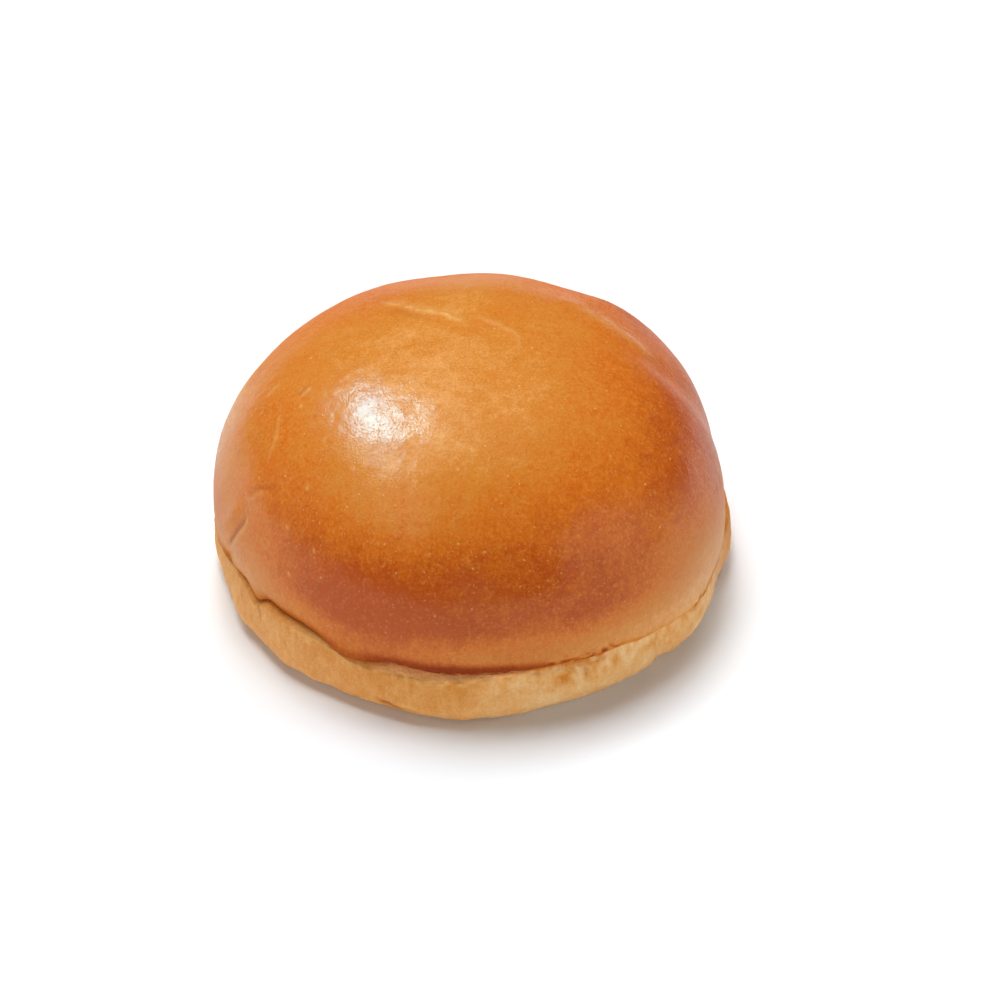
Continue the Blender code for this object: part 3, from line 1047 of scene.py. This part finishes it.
glazed = crust_shader(GLAZED_ROUGHNESS + 0.10 * (mottle(2.5) - 0.5), GLAZED_GLOSS)
bare = crust_shader(BARE_ROUGHNESS, BARE_GLOSS)
both = finish.node("ShaderNodeMixShader", None, {0: glaze_left, 1: bare, 2: glazed})
crust_tree.links.new(both.socket, crust_tree.nodes["Material Output"].inputs["Surface"])
bun_mesh.materials.append(crust)
print("the finish has", len(crust_tree.nodes), "nodes")

# %% [markdown]
# ## Table, light and camera
#
# The bun stands on a plain white table, which isn't part of it.

# %% The table
FLOOR_SIZE = 6.0
FLOOR_COLOUR = (0.93, 0.97, 1.0, 1)
bpy.ops.mesh.primitive_plane_add(size=FLOOR_SIZE)
table = bpy.context.active_object
table.name = "table"
white = bpy.data.materials.new("table_white")
white.use_nodes = True
white_shader = white.node_tree.nodes["Principled BSDF"]
white_shader.inputs["Base Color"].default_value = FLOOR_COLOUR
white_shader.inputs["Roughness"].default_value = 0.9
white_shader.inputs["Specular IOR Level"].default_value = 0.0
table.data.materials.append(white)

# %% [markdown]
# Three softboxes over the back light the dome and lay the soft shadow to the front, and low boards fill in
# the sides. They light the crust but aren't mirrored in it, so that the highlight can be placed on its own:
# a small window at the back left, and a fainter one beside it, which show only in the glaze. Their light is
# bluish, because a white highlight over amber crust needs it. Two boards at the front, which show only as
# reflections too, give the lower dome its sheen.

# %% Light
FLOOR_ALBEDO = 0.97
ROOM_LIGHT = 0.005
LIGHT_DISTANCE = 1.2
DAYLIGHT = (0.27, 0.80, 1.0)

world = bpy.data.worlds.new("studio")
world.use_nodes = True
world.node_tree.nodes["Background"].inputs["Color"].default_value = (1, 1, 1, 1)
world.node_tree.nodes["Background"].inputs["Strength"].default_value = ROOM_LIGHT
bpy.context.scene.world = world


def softbox(name, direction, height, side, floor_light, diffuse=True, glossy=True, colour=(1, 1, 1)):
    """A square light: direction and height in degrees, side in metres, and how white it makes the floor."""
    turned = math.radians(direction)
    raised = math.radians(height)
    data = bpy.data.lights.new(name, "AREA")
    data.shape = "SQUARE"
    data.size = side
    data.color = colour
    data.energy = floor_light * (math.pi * LIGHT_DISTANCE) ** 2 / (FLOOR_ALBEDO * math.sin(raised))
    light = bpy.data.objects.new(name, data)
    light.location = LIGHT_DISTANCE * Vector((
        math.cos(turned) * math.cos(raised),
        math.sin(turned) * math.cos(raised),
        math.sin(raised),
    ))
    light.rotation_euler = light.location.to_track_quat("Z", "Y").to_euler()
    light.visible_diffuse = diffuse
    light.visible_glossy = glossy
    bpy.context.scene.collection.objects.link(light)


softbox("window", 139.5, 57.5, 0.26, 0.405, diffuse=False, colour=DAYLIGHT)
softbox("window_below", 172, 57.5, 0.28, 0.105, diffuse=False, colour=DAYLIGHT)
softbox("back_softbox", 75, 60, 0.9, 0.25, glossy=False)
softbox("key_softbox", 90, 62, 0.3, 0.12, glossy=False)
softbox("top_softbox", 135, 75, 0.6, 0.70, glossy=False)
softbox("left_board", 180, 14, 0.4, 0.045, glossy=False)
softbox("right_board", 0, 14, 0.4, 0.05, glossy=False)
softbox("front_board", -90, 14, 0.4, 0.079, glossy=False)
softbox("front_left_board", -145, 51, 0.65, 0.065, diffuse=False)
softbox("front_right_board", -28, 20, 0.8, 0.042, diffuse=False)

# %% [markdown]
# The camera's height was worked out from how open the bun's outline and its lip look in the photograph. It
# aims so that the middle of the bun's base falls on the same pixel there and here.

# %% Camera
CAMERA_ELEVATION = 38
CAMERA_DISTANCE = 0.9
SENSOR_WIDTH = 36
PIXELS_PER_MM = 4.95       # at the middle of the bun's base
BUN_PIXEL_X = 469.1        # where the middle of the turned form's base lies in the picture
BUN_PIXEL_Y = 560.6
PICTURE = 1000
elevation = math.radians(CAMERA_ELEVATION)
towards_camera = Vector((0, -math.cos(elevation), math.sin(elevation)))
picture_right = Vector((1, 0, 0))
picture_up = Vector((0, math.sin(elevation), math.cos(elevation)))
form_origin = Vector(-form_middle * MM + cad_middle)
camera_data = bpy.data.cameras.new("camera")
camera = bpy.data.objects.new("camera", camera_data)
bpy.context.scene.collection.objects.link(camera)
camera.location = form_origin + towards_camera * CAMERA_DISTANCE
aim = (
    form_origin
    + picture_right * (PICTURE / 2 - BUN_PIXEL_X) / PIXELS_PER_MM * MM
    + picture_up * (BUN_PIXEL_Y - PICTURE / 2) / PIXELS_PER_MM * MM
)
camera.rotation_euler = (camera.location - aim).to_track_quat("Z", "Y").to_euler()
camera_data.sensor_width = SENSOR_WIDTH
camera_data.lens = PIXELS_PER_MM * CAMERA_DISTANCE / MM * camera_data.sensor_width / PICTURE
bpy.context.scene.camera = camera
print("the lens is", round(camera_data.lens, 1), "mm")

# %% Plain colours, as a camera's standard picture shows them
scene = bpy.context.scene
scene.view_settings.view_transform = "Standard"
scene.view_settings.look = "None"
scene.view_settings.exposure = 0
scene.view_settings.gamma = 1
